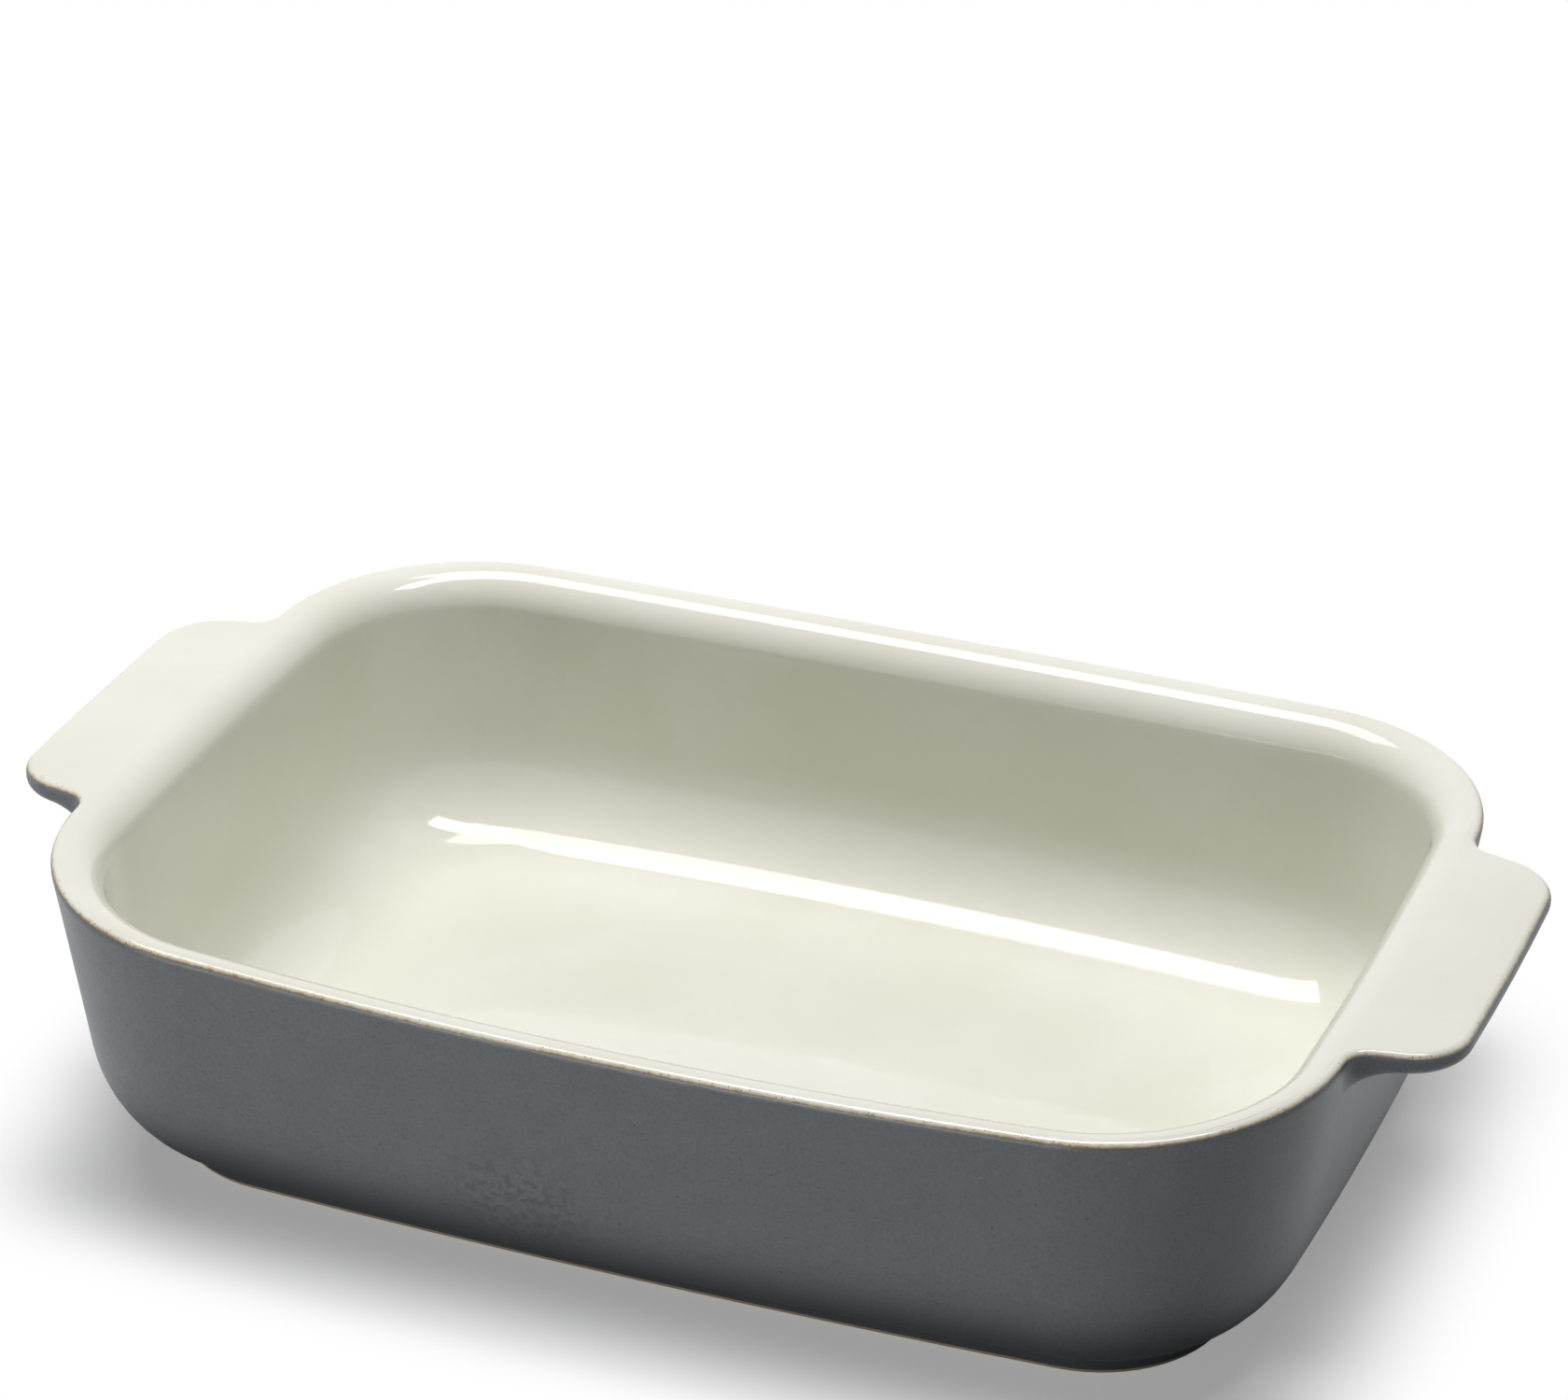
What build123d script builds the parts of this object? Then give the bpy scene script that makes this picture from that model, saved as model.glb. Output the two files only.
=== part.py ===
from build123d import *
from math import cos, radians, sin, sqrt, tan
import os

# Lasagna dish: a rounded rectangular stoneware tub with a tab handle at each end.
# Lengths are millimetres and describe the glazed dish. The table is z = 0.

# Tub outline at the rim, outside, with gently arched ends and sides
tub_length = 315.9
tub_width = 223.2
tub_end_radius = 1400.0
tub_side_radius = 1580.0
tub_corner_radius = 56.2

# Tub wall and base
rim_height = 79.2
wall_draft = 8.4  # degrees from upright
wall_thickness = 11.5  # at the rim; the hollow is steeper than the outside, so it thins downward
hollow_draft = 6.0  # degrees from upright
base_height = 2.3
base_round = 33.3
floor_thickness = 8.2
floor_round = 27.0

# Lip, which sinks towards the middle of both long sides
lip_dip = 3.0
lip_blend_radius = 320.0
lip_outer_round = 2.0
lip_inner_share = 0.87  # of the wall thickness, as the radius of the soft inner round

# Handles, level with the lip, between the corners of each end
handle_reach = 22.05
handle_corner_gap = 5.9  # from where the tub's corner starts to the handle's root
handle_taper = 5.0  # how far each side of a handle draws in by its tip
handle_tip_radius = 1250.0
handle_corner_radius = 15.4
handle_thickness = 6.0
handle_droop = 0.9
handle_underside_round = 2.4
handle_root_fillet = 5.5
handle_web_radius = 16.0
handle_web_reach = 9.4
handle_web_sweep = 78.0  # degrees of arc, which end inside the wall

# Foot ring under the base, set in from where the drafted walls would reach the base
foot_end_inset = 12.5
foot_side_inset = 17.2
foot_end_radius = 420.0
foot_side_radius = 2200.0
foot_corner_radius = 31.6
foot_ring_width = 6.5
foot_fillet = 1.5
foot_edge_round = 0.8

# Glaze coats
glaze_thickness = 0.4
glaze_roll_over = 1.1  # how far the cream glaze comes down over the outer edge
foot_bare_height = 1.3  # clay left bare above the table

overrun = 5.0  # how far a cutting or joining shape runs past its partner

draft_slope = tan(radians(wall_draft))
hollow_slope = tan(radians(hollow_draft))
lip_inner_round = wall_thickness * lip_inner_share
drawn_in = (rim_height - base_height) * draft_slope  # by each wall, from the rim to the base
foot_length = tub_length - (drawn_in + foot_end_inset) * 2
foot_width = tub_width - (drawn_in + foot_side_inset) * 2
handle_root_width = tub_width - (tub_corner_radius + handle_corner_gap) * 2
flat_enough = 0.95  # upward part of a lip face's normal
root_x = tub_length / 2
tip_x = root_x + handle_reach


def arched_outline(length, width, end_radius, side_radius, corner_radius, growth):
    """Rectangle with arched sides and rounded corners, all moved outward by growth."""
    end_centre = Vector(length / 2 - end_radius, 0)
    side_centre = Vector(0, width / 2 - side_radius)

    # The corner's centre lies where both arches, moved in by the corner's radius, cross.
    to_side = side_centre - end_centre
    end_inset = end_radius - corner_radius
    side_inset = side_radius - corner_radius
    along = (end_inset**2 - side_inset**2 + to_side.length**2) / (2 * to_side.length)
    across = sqrt(end_inset**2 - along**2)
    aim = to_side.normalized()
    corner_centre = end_centre + aim * along + Vector(-aim.Y, aim.X) * across

    def on_arc(centre, radius, aim):
        return centre + aim.normalized() * (radius + growth)

    end_stop = on_arc(end_centre, end_radius, corner_centre - end_centre)
    side_stop = on_arc(side_centre, side_radius, corner_centre - side_centre)
    aims = (corner_centre - end_centre).normalized() + (corner_centre - side_centre).normalized()
    corner_middle = on_arc(corner_centre, corner_radius, aims)
    end_middle = Vector(length / 2 + growth, 0)
    side_middle = Vector(0, width / 2 + growth)

    def placed(point, x_sign, y_sign):
        return (point.X * x_sign, point.Y * y_sign)

    arcs = []
    for x_sign, y_sign in ((1, 1), (-1, 1), (-1, -1), (1, -1)):
        corner = [placed(point, x_sign, y_sign) for point in (end_stop, corner_middle, side_stop)]
        arcs.append(ThreePointArc(*corner))
    for sign in (1, -1):
        across_side = [placed(side_stop, 1, sign), placed(side_middle, 1, sign), placed(side_stop, -1, sign)]
        along_end = [placed(end_stop, sign, 1), placed(end_middle, sign, 1), placed(end_stop, sign, -1)]
        arcs += [ThreePointArc(*across_side), ThreePointArc(*along_end)]
    return make_face(arcs)


def tub_outline(height, growth, slope):
    """Plan at a height of a drafted tub whose rim lies outside the dish's rim by growth."""
    drafted = growth + (height - rim_height) * slope
    sizes = (tub_length, tub_width, tub_end_radius, tub_side_radius, tub_corner_radius)
    return arched_outline(*sizes, drafted)


def foot_outline(growth):
    sizes = (foot_length, foot_width, foot_end_radius, foot_side_radius, foot_corner_radius)
    return arched_outline(*sizes, growth)


def drafted_block(growth, bottom, bottom_round, slope):
    """Solid tub shape from above the rim down to bottom, with its lower edge rounded."""
    top = rim_height + overrun
    sections = [Pos(0, 0, height) * tub_outline(height, growth, slope) for height in (bottom, top)]
    block = loft(sections, ruled=True)
    return fillet(block.edges().group_by(Axis.Z)[0], bottom_round)


def handle_plan(coat):
    """Plan of one handle: sides that narrow outward and an arched end with rounded corners."""
    taper_slope = handle_taper / handle_reach
    inner_x = root_x - wall_thickness
    outer_x = tip_x + overrun

    def half_width(x):
        return handle_root_width / 2 - taper_slope * (x - root_x) - coat

    inner_y, outer_y = half_width(inner_x), half_width(outer_x)
    corners = [(inner_x, inner_y), (outer_x, outer_y), (outer_x, -outer_y), (inner_x, -inner_y)]
    trapezoid = make_face(Polyline(*corners, close=True))
    disc = Pos(tip_x - handle_tip_radius, 0, 0) * Rot(0, 0, 180) * Circle(handle_tip_radius - coat)
    plan = trapezoid & disc
    return fillet(plan.vertices().group_by(Axis.X)[-1], handle_corner_radius - coat)


def handle_side(coat):
    """Side view of one handle: flat underside that curves down to the wall as a web."""
    inner_x = root_x - wall_thickness - overrun
    outer_x = tip_x + overrun
    top_z = rim_height + overrun
    under_z = rim_height - handle_thickness + coat
    web_x = root_x + handle_web_reach
    radius = handle_web_radius + coat

    def on_web(angle):
        return (web_x - radius * sin(radians(angle)), under_z - radius * (1 - cos(radians(angle))))

    web_end = on_web(handle_web_sweep)
    edges = [
        Line((inner_x, top_z), (outer_x, top_z)),
        Line((outer_x, top_z), (outer_x, under_z)),
        Line((outer_x, under_z), (web_x, under_z)),
        ThreePointArc((web_x, under_z), on_web(handle_web_sweep / 2), web_end),
        Line(web_end, (inner_x, web_end[1])),
        Line((inner_x, web_end[1]), (inner_x, top_z)),
    ]
    return Plane.XZ * make_face(edges), web_end[0]


def handle_block(coat):
    """One handle at +X, running past the rim height and back into the wall."""
    side, web_end_x = handle_side(coat)
    upright = extrude(handle_plan(coat), amount=rim_height + overrun * 2)
    sideways = extrude(side, amount=handle_root_width, both=True)
    handle = upright & sideways
    middle_z = rim_height - handle_thickness / 2
    underside = [
        edge
        for edge in handle.edges().filter_by(Axis.Y, reverse=True)
        if edge.center().Z < middle_z and edge.center().X > web_end_x
    ]
    return fillet(underside, handle_underside_round - coat)


def above_lip(coat):
    """Everything above the lip: level at the handle roots, sunk between them, drooping to the tips."""
    reach = tip_x + overrun
    tip_z = rim_height - handle_droop * (reach - root_x) / handle_reach - coat
    root_z = rim_height - coat
    top_z = rim_height + overrun * 2
    edges = [
        Line((-reach, tip_z), (-root_x, root_z)),
        ThreePointArc((-root_x, root_z), (0, root_z - lip_dip), (root_x, root_z)),
        Line((root_x, root_z), (reach, tip_z)),
        Line((reach, tip_z), (reach, top_z)),
        Line((reach, top_z), (-reach, top_z)),
        Line((-reach, top_z), (-reach, tip_z)),
    ]
    profile = make_face(edges)
    roots = [v for v in profile.vertices() if abs(abs(v.X) - root_x) < wall_thickness / 2]
    profile = fillet(roots, lip_blend_radius)
    return extrude(Plane.XZ * profile, amount=tub_width, both=True)


def joined_outside(coat):
    """Tub, handles and foot ring as one solid block, before it is hollowed."""
    tub = drafted_block(-coat, base_height + coat, base_round - coat, draft_slope)
    handle = handle_block(coat)
    handles = [handle, Rot(0, 0, 180) * handle]
    block = tub + handles
    below_top = (Axis.Z, 0, rim_height + overrun / 2)
    roots = new_edges(tub, *handles, combined=block).filter_by_position(*below_top)
    block = fillet(roots, handle_root_fillet + coat)
    foot = extrude(foot_outline(-coat), amount=base_height + floor_thickness)
    footed = block + foot
    seam = new_edges(block, foot, combined=footed)
    return fillet(seam, foot_fillet + coat)


def lip_edges(solid):
    """Outer and inner edges of the lip's top face."""
    tops = [face for face in solid.faces().filter_by_position(Axis.Z, rim_height / 2, rim_height)]
    tops = [face for face in tops if face.normal_at().Z > flat_enough]
    edges = [edge for face in tops for edge in face.edges()]
    free = ShapeList(edge for edge in edges if sum(edge.is_same(other) for other in edges) == 1)
    middle = tub_outline(rim_height, -wall_thickness / 2, draft_slope).face()
    inner, outer = free.group_by(lambda edge: middle.is_inside((edge.center().X, edge.center().Y, 0)))[::-1]
    return outer, inner


def dish(coat):
    """The whole dish with every face moved inward by coat, apart from the bearing face."""
    block = joined_outside(coat)
    recess = extrude(foot_outline(coat - foot_ring_width), amount=base_height + coat)
    floor_z = base_height + floor_thickness - coat
    hollow = drafted_block(coat - wall_thickness, floor_z, floor_round + coat, hollow_slope)
    solid = block - recess - hollow - above_lip(coat)
    solid = fillet(lip_edges(solid)[0], lip_outer_round - coat)
    solid = fillet(lip_edges(solid)[1], lip_inner_round - coat)
    return fillet(solid.edges().group_by(Axis.Z)[0], foot_edge_round)


def glaze_coats(glazed, clay):
    """Cream coat inside and over the lip, grey coat outside, grey pool inside the foot ring."""
    below = (tip_x * 2, tub_width, overrun)
    bare = Pos(0, 0, foot_bare_height) * Box(*below, align=(Align.CENTER, Align.CENTER, Align.MAX))
    coats = glazed - clay - bare
    mid_wall = wall_thickness / 2
    mid_floor = base_height + floor_thickness / 2
    mid_round = (base_round + floor_round) / 2
    cream_zone = drafted_block(-mid_wall, mid_floor, mid_round, draft_slope) + above_lip(glaze_roll_over)
    cream = coats & cream_zone
    pool, wall_coat = (coats - cream_zone).solids().sort_by(Axis.Z)
    return cream, wall_coat, pool


clay = dish(glaze_thickness)
cream, wall_coat, pool = glaze_coats(dish(0), clay)
nodes = {
    "stoneware_body": clay,
    "cream_inner_glaze": cream,
    "grey_outer_glaze": wall_coat,
    "grey_underside_glaze": pool,
}
os.makedirs("parts", exist_ok=True)
for name, solid in nodes.items():
    solid.label = name
    export_step(solid, f"parts/{name}.step")
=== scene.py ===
# Lasagna dish in stoneware: glossy cream glaze inside, satin slate glaze outside
import bpy, math
from mathutils import Matrix, Vector


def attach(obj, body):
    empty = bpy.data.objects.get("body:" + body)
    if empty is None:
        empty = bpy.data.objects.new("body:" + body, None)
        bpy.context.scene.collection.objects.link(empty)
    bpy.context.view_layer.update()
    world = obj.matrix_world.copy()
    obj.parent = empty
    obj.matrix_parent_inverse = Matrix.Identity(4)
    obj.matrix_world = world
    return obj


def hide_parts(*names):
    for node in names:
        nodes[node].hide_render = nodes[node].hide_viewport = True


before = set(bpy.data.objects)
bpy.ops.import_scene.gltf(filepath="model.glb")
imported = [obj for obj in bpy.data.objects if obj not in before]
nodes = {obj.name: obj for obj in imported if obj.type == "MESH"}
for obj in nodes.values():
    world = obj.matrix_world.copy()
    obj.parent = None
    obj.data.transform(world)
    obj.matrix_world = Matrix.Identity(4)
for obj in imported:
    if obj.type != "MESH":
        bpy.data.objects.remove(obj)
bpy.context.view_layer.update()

mm = 0.001
smooth = {"interpolation_type": "SMOOTHSTEP"}
print("frame loaded:", ", ".join(sorted(nodes)))


def linearColor(hexCode):
    def channel(value):
        return value / 12.92 if value <= 0.04045 else ((value + 0.055) / 1.055) ** 2.4
    return tuple(channel(int(hexCode[k:k + 2], 16) / 255) for k in (1, 3, 5)) + (1.0,)


def addNode(tree, kind, settings=None, *inOrder, give=0, **byName):
    # inputs go in order, by name with _ for a space, or by number as i6; give picks the output
    node = tree.nodes.new(kind)
    for name, value in (settings or {}).items():
        setattr(node, name, value)
    inputs = list(enumerate(inOrder))
    for name, value in byName.items():
        inputs.append((int(name[1:]) if name[1:].isdigit() else name.replace("_", " "), value))
    for key, value in inputs:
        if isinstance(value, bpy.types.NodeSocket):
            tree.links.new(value, node.inputs[key])
        else:
            node.inputs[key].default_value = value
    return node if give is None else node.outputs[give]


def newMaterial(name):
    material = bpy.data.materials.new(name)
    material.use_nodes = True
    return material, material.node_tree, material.node_tree.nodes["Principled BSDF"]


# the cream coat: one profile of floor, rounds, wall and lip goes around the rim and widens over the handles
coat = {  # mm and degrees
    "length": 315.9, "width": 223.2,  # of the tub at the rim, without handles
    "endRadius": 1400.0, "sideRadius": 1580.0, "cornerRadius": 56.2,
    "rimHeight": 79.2, "wall": 11.5, "outerDraft": 8.4, "innerDraft": 6.0,
    "floorHeight": 10.5, "floorRound": 27.0,
    "lipInnerRound": 10.005, "lipOuterRound": 2.0,
    "lipDip": 3.0, "lipBlend": 320.0,  # dip along the sides, and the radius that ends it at the handles
    "handleReach": 22.05, "handleRoot": 49.5, "handleTaper": 5.0, "handleDroop": 0.9,
    "handleTipRadius": 1250.0, "handleCornerRadius": 15.4, "rootFillet": 5.5,
    "edgeBlend": 8.0,  # along the rim, from the tub's drafted edge to the handle's upright one
    "rollOver": 1.1,  # how far the cream comes down over the outer edge
    "thickness": 0.4, "weld": 0.002,
    "rippleSize": 34.0, "rippleHeight": 0.05, "rippleDetail": 1.5, "seed": 7,
    "sharpAngle": 40.0,
    # how many faces each stretch has, along a quarter of the rim and down the profile
    "rimSteps": {"side": 44, "corner": 48, "end": 3,
                 "fillet": 12, "handleSide": 6, "handleCorner": 18, "tip": 16},
    "profileSteps": {"floor": 16, "floorRound": 14, "wall": 12, "innerLip": 20, "lipTop": 9, "outerLip": 8},
}


def circlePoint(centre, radius, angle):
    aim = Vector((math.cos(angle), math.sin(angle)))
    return centre + aim * radius, aim


def fromTo(start, stop, count, skipFirst=False):
    return [start + (stop - start) * k / count for k in range(1 if skipFirst else 0, count + 1)]


def angleOf(vector):
    return math.atan2(vector.y, vector.x)


def rimCentres(sizes):
    # centres of the bowed end, of the bowed side and of the corner's round, which touches both
    end = Vector((sizes["length"] / 2 - sizes["endRadius"], 0))
    side = Vector((0, sizes["width"] / 2 - sizes["sideRadius"]))
    endInset, sideInset = (sizes[name] - sizes["cornerRadius"] for name in ("endRadius", "sideRadius"))
    toSide = side - end
    along = (endInset ** 2 - sideInset ** 2 + toSide.length ** 2) / (2 * toSide.length)
    aim = toSide.normalized()
    corner = end + aim * along + Vector((-aim.y, aim.x)) * math.sqrt(endInset ** 2 - along ** 2)
    return end, side, corner


def handleEdge(sizes, endCentre):
    # half a handle's outline: concave root fillet, narrowing side, round corner, arched tip
    fillet, corner, tip = sizes["rootFillet"], sizes["handleCornerRadius"], sizes["handleTipRadius"]
    root, reach, steps = sizes["length"] / 2, sizes["handleReach"], sizes["rimSteps"]
    slope = sizes["handleTaper"] / reach
    sideAim = Vector((1, -slope)).normalized()
    sideOut = Vector((slope, 1)).normalized()
    rootPoint = Vector((root, sizes["handleRoot"]))

    def touching(centre, radius, inset):
        # the point that is radius away from centre and inset outside the handle's side
        start = rootPoint + sideOut * inset - centre
        behind = start.dot(sideAim)
        shift = math.sqrt(behind ** 2 - start.length_squared + radius ** 2) - behind
        return centre + start + sideAim * shift

    filletCentre = touching(endCentre, sizes["endRadius"] + fillet, fillet)
    tipCentre = Vector((root + reach - tip, 0))
    cornerCentre = touching(tipCentre, tip - corner, -corner)
    tipStart = angleOf(cornerCentre - tipCentre)

    edge = []
    filletStart, filletEnd = (angleOf(aim) % math.tau for aim in (endCentre - filletCentre, -sideOut))
    for angle in fromTo(filletStart, filletEnd, steps["fillet"], True):
        point, normal = circlePoint(filletCentre, fillet, angle)
        edge.append((point, -normal))
    lineStart, lineEnd = edge[-1][0], cornerCentre + sideOut * corner
    for share in fromTo(0, 1, steps["handleSide"], True):
        edge.append((lineStart.lerp(lineEnd, share), sideOut))
    for angle in fromTo(angleOf(sideOut), tipStart, steps["handleCorner"], True):
        edge.append(circlePoint(cornerCentre, corner, angle))
    for angle in fromTo(tipStart, 0, steps["tip"], True):
        edge.append(circlePoint(tipCentre, tip, angle))
    return angleOf(filletCentre - endCentre), edge


def rimStations(sizes):
    # a quarter of the rim: inner point and normal, outer point and normal, share of the handle's edge
    endCentre, sideCentre, cornerCentre = rimCentres(sizes)
    handleStart, handle = handleEdge(sizes, endCentre)
    sideEnd, cornerEnd = (angleOf(cornerCentre - centre) for centre in (sideCentre, endCentre))
    arcs = (("side", sideCentre, math.pi / 2, sideEnd), ("corner", cornerCentre, sideEnd, cornerEnd),
            ("end", endCentre, cornerEnd, handleStart))
    stations = []
    for name, centre, start, stop in arcs:
        for angle in fromTo(start, stop, sizes["rimSteps"][name], skipFirst=bool(stations)):
            point, normal = circlePoint(centre, sizes[name + "Radius"], angle)
            stations.append((point, normal, point, normal, 0.0))

    # along a handle the inner points stay on the tub's end, spread as the handle's outline is
    lengths, last = [0.0], stations[-1][2]
    for point, normal in handle:
        lengths.append(lengths[-1] + (point - last).length)
        last = point
    for (point, normal), reached in zip(handle, lengths[1:]):
        angle = handleStart * (1 - reached / lengths[-1])
        inner, innerNormal = circlePoint(endCentre, sizes["endRadius"], angle)
        stations.append((inner, innerNormal, point, normal, min(1.0, reached / sizes["edgeBlend"])))
    return stations


def wholeRim(quarter):
    def flipped(station, alongX, alongY):
        turned = [Vector((vector.x * alongX, vector.y * alongY)) for vector in station[:4]]
        return (*turned, station[4])
    loop = quarter[:-1]
    loop += [flipped(station, 1, -1) for station in reversed(quarter)][:-1]
    loop += [flipped(station, -1, -1) for station in quarter][:-1]
    loop += [flipped(station, -1, 1) for station in reversed(quarter)][:-1]
    return loop


def lipHeight(sizes, x):
    # dips between the handle roots, droops towards the tips, blended at the roots
    root, x = sizes["length"] / 2, abs(x)
    inSlope, outSlope = 2 * sizes["lipDip"] / root, -sizes["handleDroop"] / sizes["handleReach"]
    half = sizes["lipBlend"] * (inSlope - outSlope) / 2
    if x >= root + half:
        return sizes["rimHeight"] + outSlope * (x - root)
    start = root - half
    low = sizes["rimHeight"] - sizes["lipDip"] * (1 - (min(x, start) / root) ** 2)
    if x <= start:
        return low
    slope = 2 * sizes["lipDip"] * start / root ** 2
    end = sizes["rimHeight"] + outSlope * half
    bend = (end - low - slope * half * 2) / (half * 2) ** 2
    return low + slope * (x - start) + bend * (x - start) ** 2


def coatProfile(sizes, station):
    # points from the edge of the flat floor to the seam: x, y, z, drop below the lip, share of ripple
    inner, innerNormal, outer, outerNormal, onHandle = station
    draft, outerDraft = math.radians(sizes["innerDraft"]), math.radians(sizes["outerDraft"])
    slope, rim, steps = math.tan(draft), sizes["rimHeight"], sizes["profileSteps"]
    rows = []

    def put(growth, z, ripple=1.0):
        # a point inside the lip, where a drop of -1 keeps the cream whole
        point = inner + innerNormal * growth
        rows.append((point.x, point.y, z, -1.0, ripple))

    # floor round: growth is measured outward from the rim's outline
    bend = sizes["floorRound"]
    centreZ = sizes["floorHeight"] + bend
    centreGrowth = (centreZ - rim) * slope - sizes["wall"] - bend / math.cos(draft)
    for angle in fromTo(0, math.pi / 2 - draft, steps["floorRound"]):
        put(centreGrowth + bend * math.sin(angle), centreZ - bend * math.cos(angle))
    wallGrowth, wallZ = centreGrowth + bend * math.cos(draft), centreZ - bend * math.sin(draft)

    # drafted wall, then the lip's inner round, where the ripple fades out
    bend = sizes["lipInnerRound"]
    lipZ = lipHeight(sizes, inner.x) - bend
    lipGrowth = (lipZ - rim) * slope - sizes["wall"] + bend / math.cos(draft)
    for share in fromTo(0, 1, steps["wall"], True)[:-1]:
        z = wallZ + (lipZ + bend * math.sin(draft) - wallZ) * share
        put(wallGrowth + (z - wallZ) * slope, z)
    for angle in fromTo(draft, math.pi / 2, steps["innerLip"]):
        put(lipGrowth - bend * math.cos(angle), lipZ + bend * math.sin(angle), 1 - math.sin(angle))

    # top of the lip and of the handle, then the outer round down to the seam
    bend = sizes["lipOuterRound"]
    tubGrowth = (lipHeight(sizes, outer.x) - bend - rim) * math.tan(outerDraft) - bend / math.cos(outerDraft)
    edgeGrowth = tubGrowth * (1 - onHandle) - bend * onHandle
    start, stop = inner + innerNormal * lipGrowth, outer + outerNormal * edgeGrowth
    for share in fromTo(0, 1, steps["lipTop"], True):
        point = start.lerp(stop, share)
        rows.append((point.x, point.y, lipHeight(sizes, point.x), -1.0 + share, 0.0))
    lowest = math.asin(1 - sizes["rollOver"] / bend)
    for angle in fromTo(math.pi / 2, lowest, steps["outerLip"], True):
        point = outer + outerNormal * (edgeGrowth + bend * math.cos(angle))
        drop = bend * (1 - math.sin(angle))
        rows.append((point.x, point.y, lipHeight(sizes, point.x) - drop, drop, 0.0))
    return rows


def coatSheet(sizes):
    # rings of the flat floor around its middle point, then each row of the profile as a loop
    profiles = [coatProfile(sizes, station) for station in wholeRim(rimStations(sizes))]
    count, depth, rings = len(profiles), len(profiles[0]), sizes["profileSteps"]["floor"]
    points = [(0.0, 0.0, sizes["floorHeight"], -1.0, 1.0)]
    floorEdge = [rows[0] for rows in profiles]
    for share in fromTo(0, 1, rings, True)[:-1]:
        points += [(x * share, y * share, *others) for x, y, *others in floorEdge]
    for row in range(depth):
        points += [rows[row] for rows in profiles]

    faces = [(0, 1 + (k + 1) % count, 1 + k) for k in range(count)]
    for ring in range(rings + depth - 2):
        here, there = 1 + ring * count, 1 + (ring + 1) * count
        for k in range(count):
            nextK = (k + 1) % count
            faces.append((here + k, here + nextK, there + nextK, there + k))
    mesh = bpy.data.meshes.new("cream_glaze_sheet")
    mesh.from_pydata([[value * mm for value in point[:3]] for point in points], [], faces)
    for name, column in (("edgeDrop", 3), ("ripple", 4)):
        values = [point[column] for point in points]
        mesh.attributes.new(name, "FLOAT", "POINT").data.foreach_set("value", values)
    if mesh.polygons[0].normal.z < 0:
        mesh.flip_normals()
    return mesh


def coatTree(sizes, material):
    tree = bpy.data.node_groups.new("cream_glaze_coat", "GeometryNodeTree")
    face = tree.interface
    face.new_socket("Geometry", in_out="INPUT", socket_type="NodeSocketGeometry")
    for name in ("Coat Thickness", "Ripple Size", "Ripple Height"):
        face.new_socket(name, in_out="INPUT", socket_type="NodeSocketFloat")
    face.new_socket("Seed", in_out="INPUT", socket_type="NodeSocketInt")
    face.new_socket("Geometry", in_out="OUTPUT", socket_type="NodeSocketGeometry")
    given = addNode(tree, "NodeGroupInput", give=None).outputs
    # slow waves that molten glaze freezes into, only ever inward of the moulded surface
    place = addNode(tree, "GeometryNodeInputPosition")
    perMetre = addNode(tree, "ShaderNodeMath", {"operation": "DIVIDE"}, 1.0, given["Ripple Size"])
    where = addNode(tree, "GeometryNodeInputNamedAttribute", {"data_type": "FLOAT"}, Name="ripple")
    inward = addNode(tree, "ShaderNodeTexNoise", {"noise_dimensions": "4D"}, Vector=place, W=given["Seed"],
                     Scale=perMetre, Detail=sizes["rippleDetail"])
    for factor in (where, given["Ripple Height"], -1.0):
        inward = addNode(tree, "ShaderNodeMath", {"operation": "MULTIPLY"}, inward, factor)
    normal = addNode(tree, "GeometryNodeInputNormal")
    step = addNode(tree, "ShaderNodeVectorMath", {"operation": "SCALE"}, normal, Scale=inward)
    waved = addNode(tree, "GeometryNodeSetPosition", Geometry=given["Geometry"], Offset=step)
    # the coat's back, against the clay, with its edge at the seam
    down = addNode(tree, "ShaderNodeMath", {"operation": "MULTIPLY"}, given["Coat Thickness"], -1.0)
    backing = addNode(tree, "GeometryNodeExtrudeMesh", {"mode": "FACES"}, give="Mesh",
                      Mesh=waved, Offset_Scale=down, Individual=False)
    turned = addNode(tree, "GeometryNodeFlipFaces", Mesh=backing)
    joined = addNode(tree, "GeometryNodeJoinGeometry", give=None)
    for side in (turned, waved):
        tree.links.new(side, joined.inputs[0])
    merged = addNode(tree, "GeometryNodeMergeByDistance", Geometry=joined.outputs[0],
                     Distance=sizes["weld"] * mm)
    rounded = addNode(tree, "GeometryNodeSetShadeSmooth", Geometry=merged)
    real = addNode(tree, "GeometryNodeRealizeInstances", Geometry=rounded)
    dressed = addNode(tree, "GeometryNodeSetMaterial", Geometry=real, Material=material)
    addNode(tree, "NodeGroupOutput", give=None, Geometry=dressed)
    return tree


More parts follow.
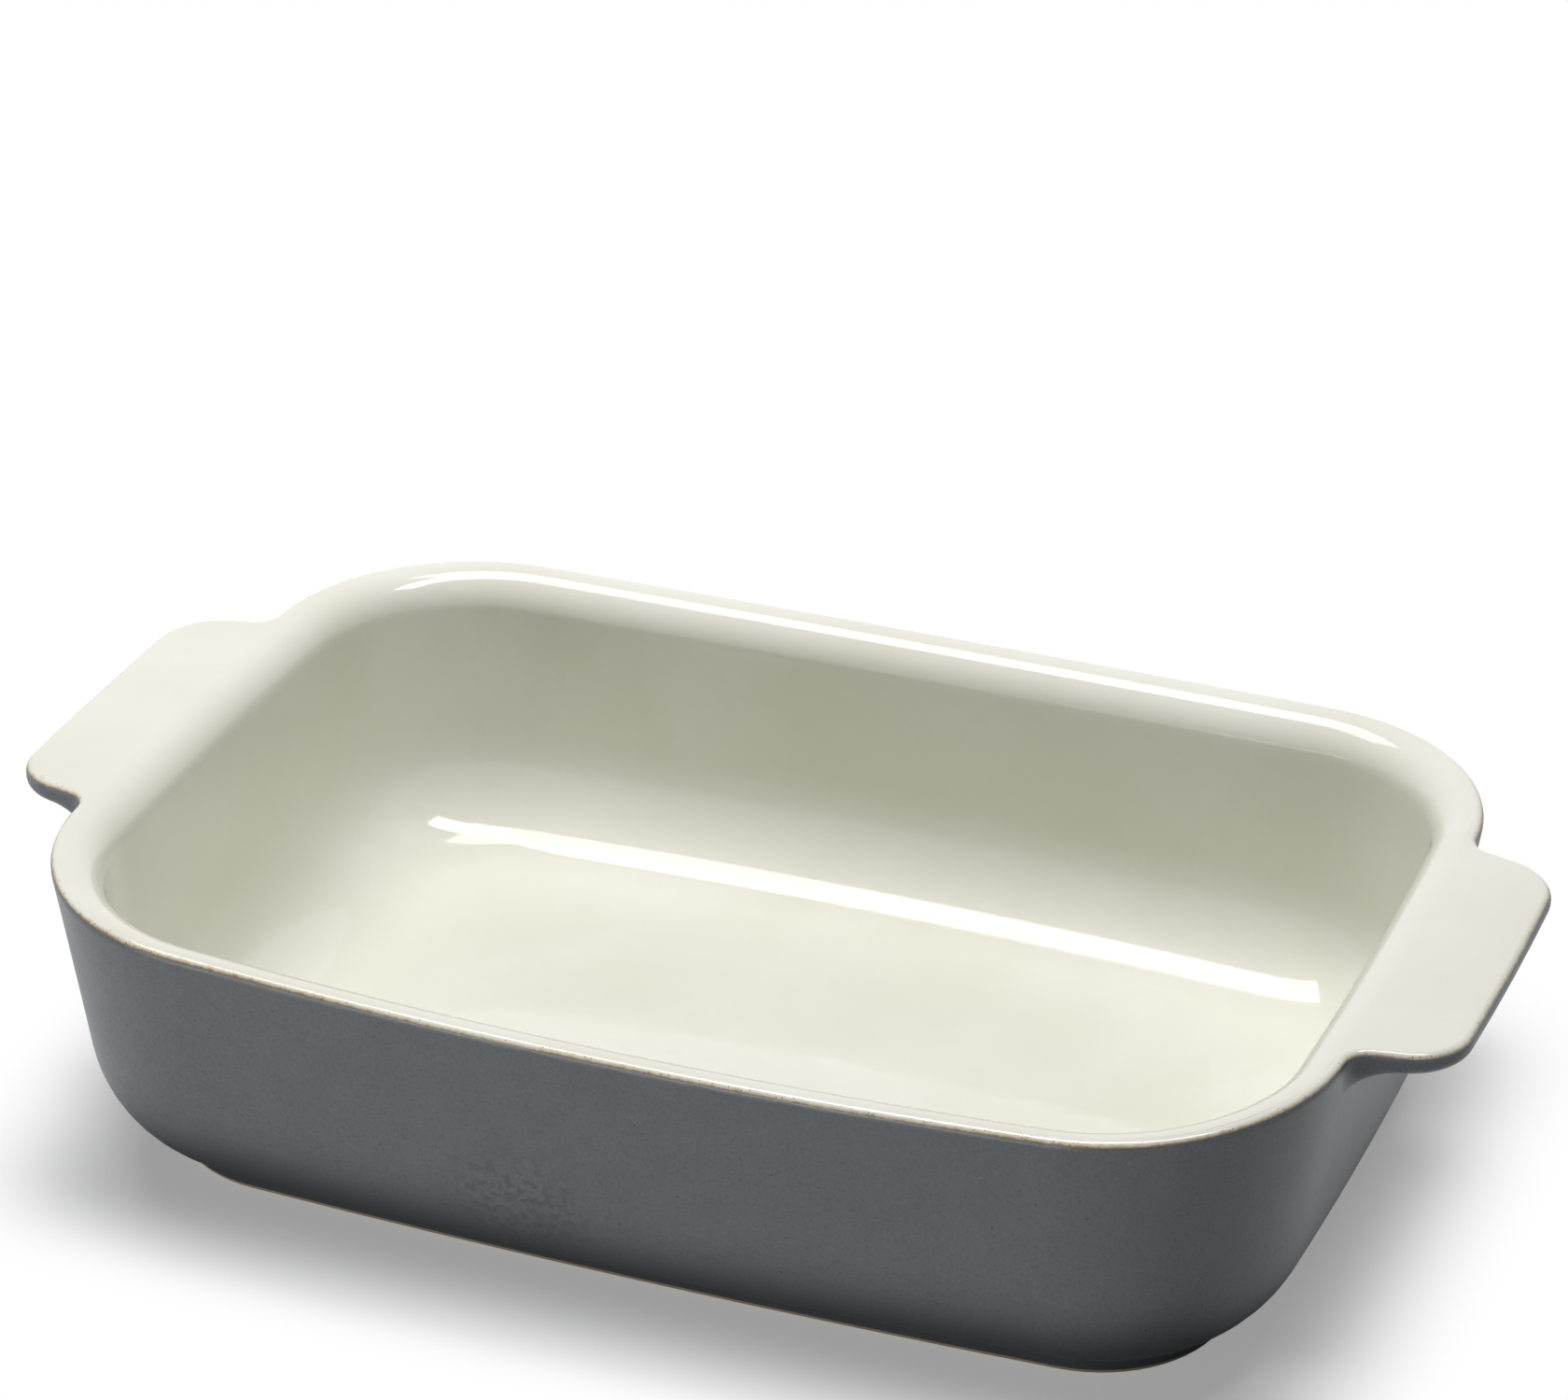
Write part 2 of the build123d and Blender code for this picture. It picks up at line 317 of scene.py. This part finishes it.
def makeCreamCoat(sizes, material):
    raw = bpy.data.objects.new("cream_glaze_sheet", coatSheet(sizes))
    bpy.context.scene.collection.objects.link(raw)
    tree = coatTree(sizes, material)
    modifier = raw.modifiers.new("coat", "NODES")
    modifier.node_group = tree
    inputs = {"Coat Thickness": sizes["thickness"] * mm, "Ripple Size": sizes["rippleSize"] * mm,
              "Ripple Height": sizes["rippleHeight"] * mm, "Seed": sizes["seed"]}
    for item in tree.interface.items_tree:
        if item.item_type == "SOCKET" and item.in_out == "INPUT" and item.name in inputs:
            modifier[item.identifier] = inputs[item.name]
    made = bpy.data.meshes.new_from_object(raw.evaluated_get(bpy.context.evaluated_depsgraph_get()))
    bpy.data.objects.remove(raw)
    made.name = "cream_glaze"
    made.set_sharp_from_angle(angle=math.radians(sizes["sharpAngle"]))
    piece = bpy.data.objects.new("cream_glaze", made)
    bpy.context.scene.collection.objects.link(piece)
    print("cream coat:", len(made.vertices), "points,", len(made.polygons), "faces")
    return piece


def wander(tree, place, size, reach, detail=2.0, roughness=0.5, around=0.0):
    # a value that strays by up to reach either way, by noise of a real size in mm
    noise = addNode(tree, "ShaderNodeTexNoise", Vector=place, Scale=1 / (size * mm), Detail=detail,
                    Roughness=roughness)
    stray = addNode(tree, "ShaderNodeMath", {"operation": "MULTIPLY_ADD"}, noise, reach * 2, -reach)
    return addNode(tree, "ShaderNodeMath", {"operation": "ADD"}, around, stray)


def layered(tree, base, layers):
    # colours laid over a base: limits turn a pattern into its colour's share, None takes it as it is
    body = linearColor(base)
    for hexCode, pattern, limits in layers:
        share = addNode(tree, "ShaderNodeMapRange", smooth, pattern, *limits) if limits else pattern
        body = addNode(tree, "ShaderNodeMix", {"data_type": "RGBA"}, share, give=2,
                       i6=body, i7=linearColor(hexCode))
    return body


# limits in a finish: where a pattern starts and ends, then, unless 0 and 1, its shares there
creamFinish = {  # sizes in mm
    "cream": "#E7E6DC", "creamWarm": "#E1DFD2", "tan": "#D3C5AB", "brown": "#85796A", "speck": "#5E5142",
    "cloudSize": 55.0, "cloudDetail": 3.0, "cloudLimits": (-0.5, 0.5),
    "streakSize": 26.0, "streakDetail": 3.0, "streakBend": 2.2, "streakLimits": (0.56, 0.70, 0.0, 0.35),
    "tanLimits": (0.30, 0.60), "brownLimits": (0.60, 1.00),  # below the lip
    "raggedSize": 1.6, "ragged": 0.42, "raggedDetail": 4.0, "raggedRoughness": 0.65,
    "driftSize": 60.0, "drift": 0.60,  # ragged and drift are how far the break strays
    "speckSpacing": 1.3, "speckLimits": (0.02, 0.30), "dotLimits": (0.10, 0.22, 0.7, 0.0),
    "roughness": 0.07, "thinRoughness": 0.30, "thinLimits": (0.30, 1.00), "ior": 1.5,
    "waveHeight": 0.03, "waveDetail": 1.0,
    "waveSize": 11.0, "waveReach": 0.5, "fineWaveSize": 3.5, "fineWaveReach": 0.06,
}


def creamGlaze(finish):
    # Tin-white gloss glaze, poured and fired: an even, wet-looking cream with slow waves,
    # which breaks through tan to brown where it thins over the outer edge.
    material, tree, shader = newMaterial("cream_gloss_glaze")
    place = addNode(tree, "ShaderNodeTexCoord", give="Object")
    cloud = wander(tree, place, finish["cloudSize"], 1.0, finish["cloudDetail"])
    # faint streaks left by the pour
    streaks = addNode(tree, "ShaderNodeTexNoise", Vector=place, Scale=1 / (finish["streakSize"] * mm),
                      Detail=finish["streakDetail"], Distortion=finish["streakBend"])
    # the break: drop below the lip in mm, strayed by a fine and a slow noise
    drop = addNode(tree, "ShaderNodeAttribute", {"attribute_name": "edgeDrop"}, give="Fac")
    level = wander(tree, place, finish["raggedSize"], finish["ragged"], finish["raggedDetail"],
                   finish["raggedRoughness"], around=drop)
    level = wander(tree, place, finish["driftSize"], finish["drift"], around=level)
    # iron specks that bleed up along the break
    grains = addNode(tree, "ShaderNodeTexVoronoi", give="Distance", Vector=place,
                     Scale=1 / (finish["speckSpacing"] * mm))
    dots = addNode(tree, "ShaderNodeMapRange", smooth, grains, *finish["dotLimits"])
    near = addNode(tree, "ShaderNodeMapRange", smooth, level, *finish["speckLimits"])
    specks = addNode(tree, "ShaderNodeMath", {"operation": "MULTIPLY"}, near, dots)
    body = layered(tree, finish["cream"], (
        (finish["creamWarm"], cloud, finish["cloudLimits"]),
        (finish["creamWarm"], streaks, finish["streakLimits"]),
        (finish["tan"], level, finish["tanLimits"]),
        (finish["brown"], level, finish["brownLimits"]),
        (finish["speck"], specks, None)))
    tree.links.new(body, shader.inputs["Base Color"])
    # wet gloss on the cream, drier where the glaze is thin and brown
    gloss = addNode(tree, "ShaderNodeMapRange", smooth, level, *finish["thinLimits"],
                    finish["roughness"], finish["thinRoughness"])
    tree.links.new(gloss, shader.inputs["Roughness"])
    shader.inputs["IOR"].default_value = finish["ior"]
    # slow waves of the set glaze, which make mirrored edges wander
    waves = wander(tree, place, finish["waveSize"], finish["waveReach"], finish["waveDetail"])
    waves = wander(tree, place, finish["fineWaveSize"], finish["fineWaveReach"], finish["waveDetail"],
                   around=waves)
    bump = addNode(tree, "ShaderNodeBump", Height=waves, Distance=finish["waveHeight"] * mm, Strength=1.0)
    tree.links.new(bump, shader.inputs["Normal"])
    return material


slateFinish = {  # sizes in mm
    "slate": "#7D8489", "slateDark": "#767D82", "slateGreen": "#7C8482", "pit": "#3A393A", "fleck": "#949A9C",
    "mottleSize": 9.0, "mottleDetail": 3.0, "mottleLimits": (-0.6, 0.6),
    "cloudSize": 70.0, "cloudLimits": (0.0, 0.6, 0.0, 0.5),
    "grainSize": 0.8, "grainRoughness": 0.7,  # the real grain is finer than a render shows
    "fleckLimits": (0.05, 0.55, 0.0, 0.55), "gritLimits": (-0.55, -0.05, 0.45, 0.0),
    "pitSpacing": 5.5, "pitLimits": (0.03, 0.07, 1.0, 0.0), "pitChosen": (0.55, 0.60), "pitDepth": 1.0,
    "crawlPlace": (-0.020, -0.1035, 0.028),  # metres, where the glaze crawled in the kiln
    "crawlLimits": (0.0069, 0.023, 1.0, 0.0),  # metres from there
    "dimpleSize": 1.9, "dimpleLimits": (0.38, 0.56, 1.0, 0.0), "crawlShade": 0.45, "crawlDepth": 1.4,
    "paintedBaseShade": "#3E4144", "paintedBaseShadeLimits": (6.0, 38.0, 0.9, 0.0),  # mm above the table: painted shade, the slate darker towards the base where little light reaches
    "brown": "#625A50", "brownAbove": 0.2, "brownBelow": 0.6,  # the stain on both sides of the seam
    "raggedSize": 1.6, "ragged": 0.25, "raggedDetail": 3.0,
    "driftSize": 60.0, "drift": 0.4,  # ragged and drift are how far the stain strays
    "roughness": 0.40, "sheenSize": 30.0, "sheenReach": 0.06, "brownGloss": 0.22, "ior": 1.5,
    "skinSize": 1.8, "skinReach": 0.35, "swellSize": 9.0, "swellReach": 0.8, "bumpHeight": 0.05, "bump": 0.8,
}


def openPits(tree, place, finish):
    # few, round, darker and sunk: a dot in the middle of some cells
    cells = addNode(tree, "ShaderNodeTexVoronoi", give=None, Vector=place,
                    Scale=1 / (finish["pitSpacing"] * mm)).outputs
    drawn = addNode(tree, "ShaderNodeSeparateColor", None, cells["Color"])
    chosen = addNode(tree, "ShaderNodeMapRange", smooth, drawn, *finish["pitChosen"])
    dots = addNode(tree, "ShaderNodeMapRange", smooth, cells["Distance"], *finish["pitLimits"])
    return addNode(tree, "ShaderNodeMath", {"operation": "MULTIPLY"}, dots, chosen)


def crawledPatch(tree, place, finish):
    # crowded shallow pits that fade out around the patch's middle
    away = addNode(tree, "ShaderNodeVectorMath", {"operation": "DISTANCE"}, place, finish["crawlPlace"],
                   give="Value")
    patch = addNode(tree, "ShaderNodeMapRange", smooth, away, *finish["crawlLimits"])
    noise = addNode(tree, "ShaderNodeTexNoise", Vector=place, Scale=1 / (finish["dimpleSize"] * mm))
    dimples = addNode(tree, "ShaderNodeMapRange", smooth, noise, *finish["dimpleLimits"])
    return addNode(tree, "ShaderNodeMath", {"operation": "MULTIPLY"}, dimples, patch)


def brownStain(tree, place, across, height, finish, sizes):
    # share of stain by the mm below the dipped lip, from the object's own coordinates
    for operation, other in (("ABSOLUTE", 0.0), ("DIVIDE", sizes["length"] / 2 * mm),
                             ("MINIMUM", 1.0), ("POWER", 2.0)):
        across = addNode(tree, "ShaderNodeMath", {"operation": operation}, across, other)
    lip = addNode(tree, "ShaderNodeMath", {"operation": "MULTIPLY_ADD"}, across, sizes["lipDip"],
                  sizes["rimHeight"] - sizes["lipDip"])
    below = addNode(tree, "ShaderNodeMath", {"operation": "SUBTRACT"}, lip, height)
    below = wander(tree, place, finish["raggedSize"], finish["ragged"], finish["raggedDetail"], around=below)
    below = wander(tree, place, finish["driftSize"], finish["drift"], around=below)
    return addNode(tree, "ShaderNodeMapRange", smooth, below, sizes["rollOver"] - finish["brownAbove"],
                   sizes["rollOver"] + finish["brownBelow"], 1.0, 0.0)


def slateGlaze(finish):
    # Satin slate glaze, sprayed on stoneware: soft sheen over a fine grain, a few open pits,
    # one patch of crawled glaze low on the front, and a brown stain under the cream's edge.
    material, tree, shader = newMaterial("slate_satin_glaze")
    place = addNode(tree, "ShaderNodeTexCoord", give="Object")
    axes = addNode(tree, "ShaderNodeSeparateXYZ", None, place, give=None).outputs
    height = addNode(tree, "ShaderNodeMath", {"operation": "DIVIDE"}, axes[2], mm)
    mottle = wander(tree, place, finish["mottleSize"], 1.0, finish["mottleDetail"])
    cloud = wander(tree, place, finish["cloudSize"], 1.0)
    grain = wander(tree, place, finish["grainSize"], 1.0, roughness=finish["grainRoughness"])
    pits, crawl = openPits(tree, place, finish), crawledPatch(tree, place, finish)
    crawlShade = addNode(tree, "ShaderNodeMath", {"operation": "MULTIPLY"}, crawl, finish["crawlShade"])
    stain = brownStain(tree, place, axes[0], height, finish, coat)
    body = layered(tree, finish["slate"], (
        (finish["slateDark"], mottle, finish["mottleLimits"]),
        (finish["slateGreen"], cloud, finish["cloudLimits"]),
        (finish["fleck"], grain, finish["fleckLimits"]),
        (finish["pit"], grain, finish["gritLimits"]),
        (finish["pit"], pits, None),
        (finish["pit"], crawlShade, None),
        # painted shade: the slate turns darker towards the base by height
        (finish["paintedBaseShade"], height, finish["paintedBaseShadeLimits"]),
        (finish["brown"], stain, None)))
    tree.links.new(body, shader.inputs["Base Color"])
    # satin, a little wetter in places and wetter at the stained edge
    sheen = wander(tree, place, finish["sheenSize"], finish["sheenReach"], around=finish["roughness"])
    sheen = addNode(tree, "ShaderNodeMath", {"operation": "MULTIPLY_ADD"}, stain, -finish["brownGloss"],
                    sheen)
    tree.links.new(sheen, shader.inputs["Roughness"])
    shader.inputs["IOR"].default_value = finish["ior"]
    # a finely uneven skin over slow swells, with the pits and the crawled patch sunk into it
    skin = wander(tree, place, finish["skinSize"], finish["skinReach"])
    skin = wander(tree, place, finish["swellSize"], finish["swellReach"], around=skin)
    for hollow, depth in ((pits, finish["pitDepth"]), (crawl, finish["crawlDepth"])):
        skin = addNode(tree, "ShaderNodeMath", {"operation": "MULTIPLY_ADD"}, hollow, -depth, skin)
    bump = addNode(tree, "ShaderNodeBump", Height=skin, Distance=finish["bumpHeight"] * mm,
                   Strength=finish["bump"])
    tree.links.new(bump, shader.inputs["Normal"])
    return material


clayFinish = {"clay": "#B7A68C", "grog": "#9C8A70", "grogSize": 1.43, "grogDetail": 3.0, "roughness": 0.85}


def bareStoneware(finish):
    # Buff stoneware, pressed and fired, left bare on the foot: dry and matt, with sandy grog.
    material, tree, shader = newMaterial("bare_buff_stoneware")
    place = addNode(tree, "ShaderNodeTexCoord", give="Object")
    grog = addNode(tree, "ShaderNodeTexNoise", Vector=place, Scale=1 / (finish["grogSize"] * mm),
                   Detail=finish["grogDetail"])
    body = layered(tree, finish["clay"], ((finish["grog"], grog, None),))
    tree.links.new(body, shader.inputs["Base Color"])
    shader.inputs["Roughness"].default_value = finish["roughness"]
    return material


cream, slate, clay = creamGlaze(creamFinish), slateGlaze(slateFinish), bareStoneware(clayFinish)
dressed = {"stoneware_body": clay, "grey_outer_glaze": slate, "grey_underside_glaze": slate}
for name, material in dressed.items():
    nodes[name].data.materials.clear()
    nodes[name].data.materials.append(material)
print("materials made")

creamCoat = makeCreamCoat(coat, cream)
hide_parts("cream_inner_glaze")
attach(creamCoat, "root")


# turn round the dish and tilt above it, then how far off, aside and up the camera stands
view = {  # degrees and mm
    "turn": 21.765, "tilt": 27.68, "distance": 1333.365, "across": 2.704, "above": 98.274,
    "lens": 126.253, "sensor": 36.0,
}


def placeCamera(given):
    turn, tilt = math.radians(given["turn"]), math.radians(given["tilt"])
    back = Vector((math.sin(turn) * math.cos(tilt), -math.cos(turn) * math.cos(tilt), math.sin(tilt)))
    right = Vector((math.cos(turn), math.sin(turn), 0))
    up = back.cross(right)
    camera = bpy.data.objects.new("camera", bpy.data.cameras.new("camera"))
    camera.data.lens, camera.data.sensor_width = given["lens"], given["sensor"]
    eye = (back * given["distance"] + right * given["across"] + up * given["above"]) * mm
    camera.matrix_world = Matrix.Translation(eye) @ Matrix((right, up, back)).transposed().to_4x4()
    bpy.context.scene.collection.objects.link(camera)
    bpy.context.scene.camera = camera


placeCamera(view)
print("camera placed")


studio = {  # metres
    "paper": "#F2F2F2", "paperBounce": "#3C3C3C", "floorHalf": 6.0, "worldFill": 0.03,
    "footHalf": (0.135, 0.084, 10.0),  # half the foot's box, and more height than any point has
    "shadowReach": 0.055,  # from the foot to where the paper is plain white
    "shadowThin": 0.30,
}


def lookedAt(tree, rays):
    # 1 for what the camera, a mirror or glass sees, and 0 for light on its way to the dish
    seen = rays["Is Camera Ray"]
    for name in ("Is Glossy Ray", "Is Transmission Ray"):
        seen = addNode(tree, "ShaderNodeMath", {"operation": "MAXIMUM"}, seen, rays[name])
    return seen


def whitePaper(given):
    # White paper sweep: it takes the dish's shadow nearby and runs out to plain white.
    material, tree, shader = newMaterial("white_paper_sweep")
    rays = addNode(tree, "ShaderNodeLightPath", give=None).outputs
    beyond, zero = addNode(tree, "ShaderNodeTexCoord", give="Object"), (0, 0, 0)
    for operation, other in (("ABSOLUTE", zero), ("SUBTRACT", given["footHalf"]), ("MAXIMUM", zero)):
        beyond = addNode(tree, "ShaderNodeVectorMath", {"operation": operation}, beyond, other)
    away = addNode(tree, "ShaderNodeVectorMath", {"operation": "LENGTH"}, beyond, give="Value")
    # the shadow seen by the camera is thinned; the one mirrored in the glaze is not
    thinned = addNode(tree, "ShaderNodeMath", {"operation": "MULTIPLY"}, rays["Is Camera Ray"],
                      given["shadowThin"])
    share = addNode(tree, "ShaderNodeMapRange", {"interpolation_type": "SMOOTHERSTEP"}, away, 0.0,
                    given["shadowReach"], thinned)
    shader.inputs["Base Color"].default_value = linearColor(given["paper"])
    shader.inputs["Roughness"].default_value = 1.0
    shader.inputs["Specular IOR Level"].default_value = 0.0
    glow = addNode(tree, "ShaderNodeEmission", Color=(1, 1, 1, 1), Strength=1.0)
    shown = addNode(tree, "ShaderNodeMixShader", None, share, shader.outputs[0], glow)
    bounce = addNode(tree, "ShaderNodeBsdfDiffuse", Color=linearColor(given["paperBounce"]))
    both = addNode(tree, "ShaderNodeMixShader", None, lookedAt(tree, rays), bounce, shown)
    tree.links.new(both, tree.nodes["Material Output"].inputs["Surface"])
    return material


half = studio["floorHalf"]
corners = [(x * half, y * half, 0) for x, y in ((-1, -1), (1, -1), (1, 1), (-1, 1))]
floorMesh = bpy.data.meshes.new("floor")
floorMesh.from_pydata(corners, [], [(0, 1, 2, 3)])
floor = bpy.data.objects.new("floor", floorMesh)
bpy.context.scene.collection.objects.link(floor)
floorMesh.materials.append(whitePaper(studio))


def whiteStudio(given):
    # Plain white room: full white where it is seen or mirrored, a low fill otherwise.
    room = bpy.data.worlds.new("white_studio")
    room.use_nodes = True
    tree = room.node_tree
    rays = addNode(tree, "ShaderNodeLightPath", give=None).outputs
    level = addNode(tree, "ShaderNodeMapRange", None, lookedAt(tree, rays), 0.0, 1.0, given["worldFill"], 1.0)
    background = tree.nodes["Background"]
    background.inputs[0].default_value = (1, 1, 1, 1)
    tree.links.new(level, background.inputs[1])
    return room


bpy.context.scene.world = whiteStudio(studio)

# metres and watts; they light the band along the floor's round, the floor and lip, and the front
lamps = {
    "softbox": {"power": 7.8, "size": (0.80, 0.52), "place": (-0.39, 0.22, 1.15), "aim": (-0.39, 0.22, 0.0)},
    "ceiling": {"power": 9.6, "size": (1.00, 0.26), "place": (0.08, 0.13, 1.30), "aim": (0.08, 0.13, 0.0)},
    "frontFill": {"power": 3.3, "size": (1.00, 0.12), "place": (-0.35, -1.00, 0.06), "aim": (0.0, 0.0, 0.06)},
}
for name, given in lamps.items():
    lamp = bpy.data.objects.new(name, bpy.data.lights.new(name, "AREA"))
    lamp.data.energy, lamp.data.shape = given["power"], "RECTANGLE"
    lamp.data.size, lamp.data.size_y = given["size"]
    lamp.location = given["place"]
    lamp.rotation_euler = (Vector(given["place"]) - Vector(given["aim"])).to_track_quat("Z", "Y").to_euler()
    lamp.visible_camera = False
    bpy.context.scene.collection.objects.link(lamp)
print("floor, room and lamps placed")

bpy.context.scene.view_settings.view_transform = "Standard"
print("scene ready")
